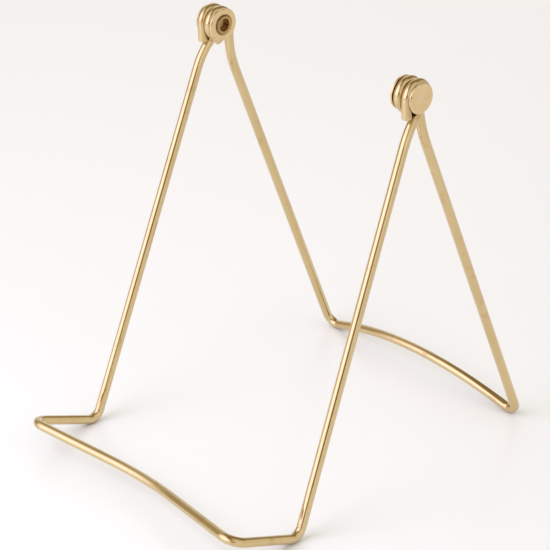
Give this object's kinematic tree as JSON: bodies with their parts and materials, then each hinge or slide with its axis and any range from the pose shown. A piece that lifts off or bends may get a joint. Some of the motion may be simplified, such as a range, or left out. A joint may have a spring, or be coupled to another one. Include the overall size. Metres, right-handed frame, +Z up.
{
  "type": "folding display easel",
  "caption": "Folding wire display easel with a bowed ledge at the front and a hinged back frame, for standing a plate or small picture.",
  "frame": {"origin": "on the table, at the middle of the open easel's bounding box seen from above", "axes": "+X along the hinge to the viewer's right when facing the ledge, +Y from the ledge to the back, +Z up"},
  "size_m": [0.1046, 0.1391, 0.1404],
  "materials": {
    "wire": "polished",
    "fastener": "satin"
  },
  "bodies": {
    "front": {"front_frame": "wire", "left_rivet": "fastener", "right_rivet": "fastener", "left_washer": "fastener", "right_washer": "fastener"},
    "back": {"back_frame": "wire"}
  },
  "joints": [
    {"name": "leg_hinge", "type": "hinge", "parent": "front", "child": "back", "pos_m": [0, 0.0117, 0.1345], "axis": [1, 0, 0], "range_deg": [-44.3, 135.6]}
  ]
}
